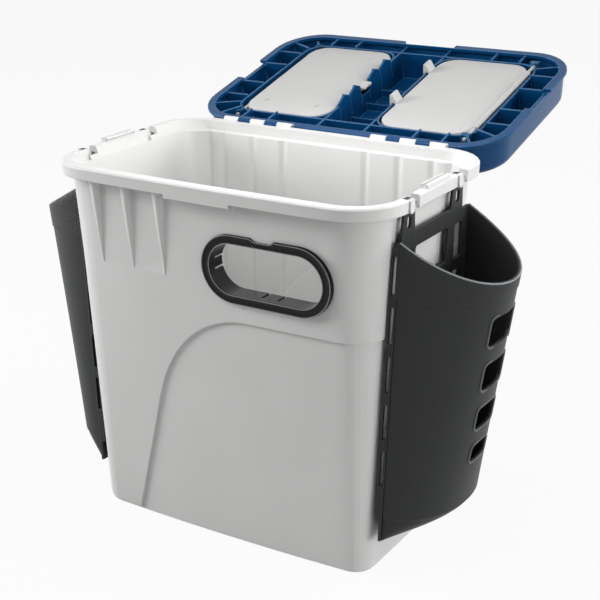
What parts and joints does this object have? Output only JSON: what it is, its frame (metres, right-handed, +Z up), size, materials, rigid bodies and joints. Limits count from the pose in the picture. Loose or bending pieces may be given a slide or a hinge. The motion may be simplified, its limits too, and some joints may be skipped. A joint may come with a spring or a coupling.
{
  "type": "fishing seat box",
  "caption": "Tapered plastic fishing box with a hinged seat lid, covered wells in the lid, a rimmed window in the front wall and a pocket hung on each side.",
  "frame": {"origin": "centre of the flat base, on the plane that the box stands on", "axes": "+Z up, -Y out of the front wall with the window, +X to the window's side of the front, seen from the front on the right"},
  "size_m": [0.4874, 0.4371, 0.4002],
  "materials": {
    "tub_plastic": "satin",
    "ring_plastic": "gloss",
    "pin_steel": "plain",
    "lid_plastic": "satin",
    "cover_plastic": "satin",
    "pocket_plastic": "fine grain"
  },
  "bodies": {
    "tub_body": {"tub": "tub_plastic", "window_ring": "ring_plastic", "hinge_pin_right": "pin_steel", "hinge_pin_left": "pin_steel"},
    "lid_body": {"lid": "lid_plastic"},
    "right_cover_body": {"right_cover": "cover_plastic"},
    "left_cover_body": {"left_cover": "cover_plastic"},
    "right_pocket_body": {"pocket_shell_right": "pocket_plastic", "pocket_frame_right": "pocket_plastic", "pocket_peg_1_right": "pocket_plastic", "pocket_peg_2_right": "pocket_plastic", "pocket_peg_3_right": "pocket_plastic", "pocket_peg_4_right": "pocket_plastic", "pocket_peg_5_right": "pocket_plastic", "pocket_peg_6_right": "pocket_plastic"},
    "left_pocket_body": {"pocket_shell_left": "pocket_plastic", "pocket_frame_left": "pocket_plastic", "pocket_peg_1_left": "pocket_plastic", "pocket_peg_2_left": "pocket_plastic", "pocket_peg_3_left": "pocket_plastic", "pocket_peg_4_left": "pocket_plastic", "pocket_peg_5_left": "pocket_plastic", "pocket_peg_6_left": "pocket_plastic"}
  },
  "joints": [
    {"name": "lid_hinge", "type": "hinge", "parent": "tub_body", "child": "lid_body", "pos_m": [0, 0.1099, 0.3464], "axis": [1, 0, 0], "range_deg": [0, 165.7]},
    {"name": "right_cover_hinge", "type": "hinge", "parent": "lid_body", "child": "right_cover_body", "pos_m": [0.128, 0.2213, 0.3696], "axis": [0, 0.969, 0.247], "range_deg": [0, 90]},
    {"name": "left_cover_hinge", "type": "hinge", "parent": "lid_body", "child": "left_cover_body", "pos_m": [-0.128, 0.2222, 0.3661], "axis": [0, -0.969, -0.247], "range_deg": [0, 75]},
    {"name": "right_pocket_slide", "type": "slide", "parent": "tub_body", "child": "right_pocket_body", "axis": [0, 1, 0], "range_m": [0, 0.0094]},
    {"name": "left_pocket_slide", "type": "slide", "parent": "tub_body", "child": "left_pocket_body", "axis": [0, 1, 0], "range_m": [0, 0.0094]}
  ]
}
